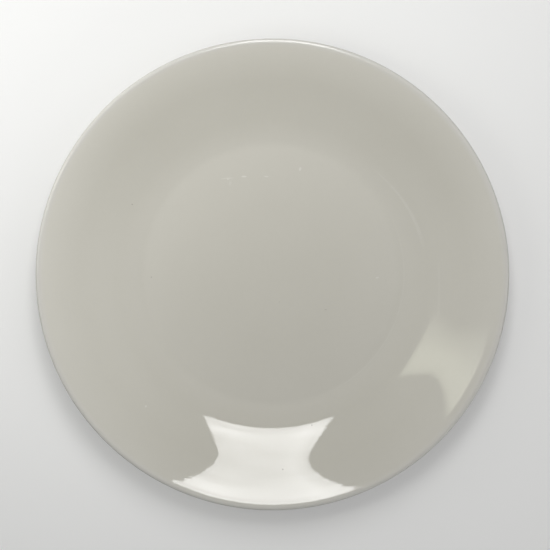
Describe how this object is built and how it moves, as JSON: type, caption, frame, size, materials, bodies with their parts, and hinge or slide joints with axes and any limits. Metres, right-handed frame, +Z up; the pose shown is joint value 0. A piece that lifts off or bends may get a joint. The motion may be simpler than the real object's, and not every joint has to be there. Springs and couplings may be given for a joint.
{
  "type": "dinner plate",
  "caption": "Round coupe dinner plate in off-white glazed ceramic: flat well, side swept up in one curve to a softly flared, rounded lip, standing on a foot ring.",
  "frame": {"origin": "centre of the foot ring's base, on the surface that the plate stands on", "axes": "+Z up along the plate's axis, out of its face; +X and +Y are any two square directions, because the plate is round"},
  "size_m": [0.27, 0.27, 0.0268],
  "materials": {
    "bare_clay": "matt, fine-grained fired clay, smoothed where it stands",
    "glaze": "high gloss off-white glaze with faint turning rings, a few specks and light wear in the well"
  },
  "bodies": {
    "root": {"plate_body": "bare_clay", "glaze_coat": "glaze", "base_glaze": "glaze"}
  },
  "joints": []
}
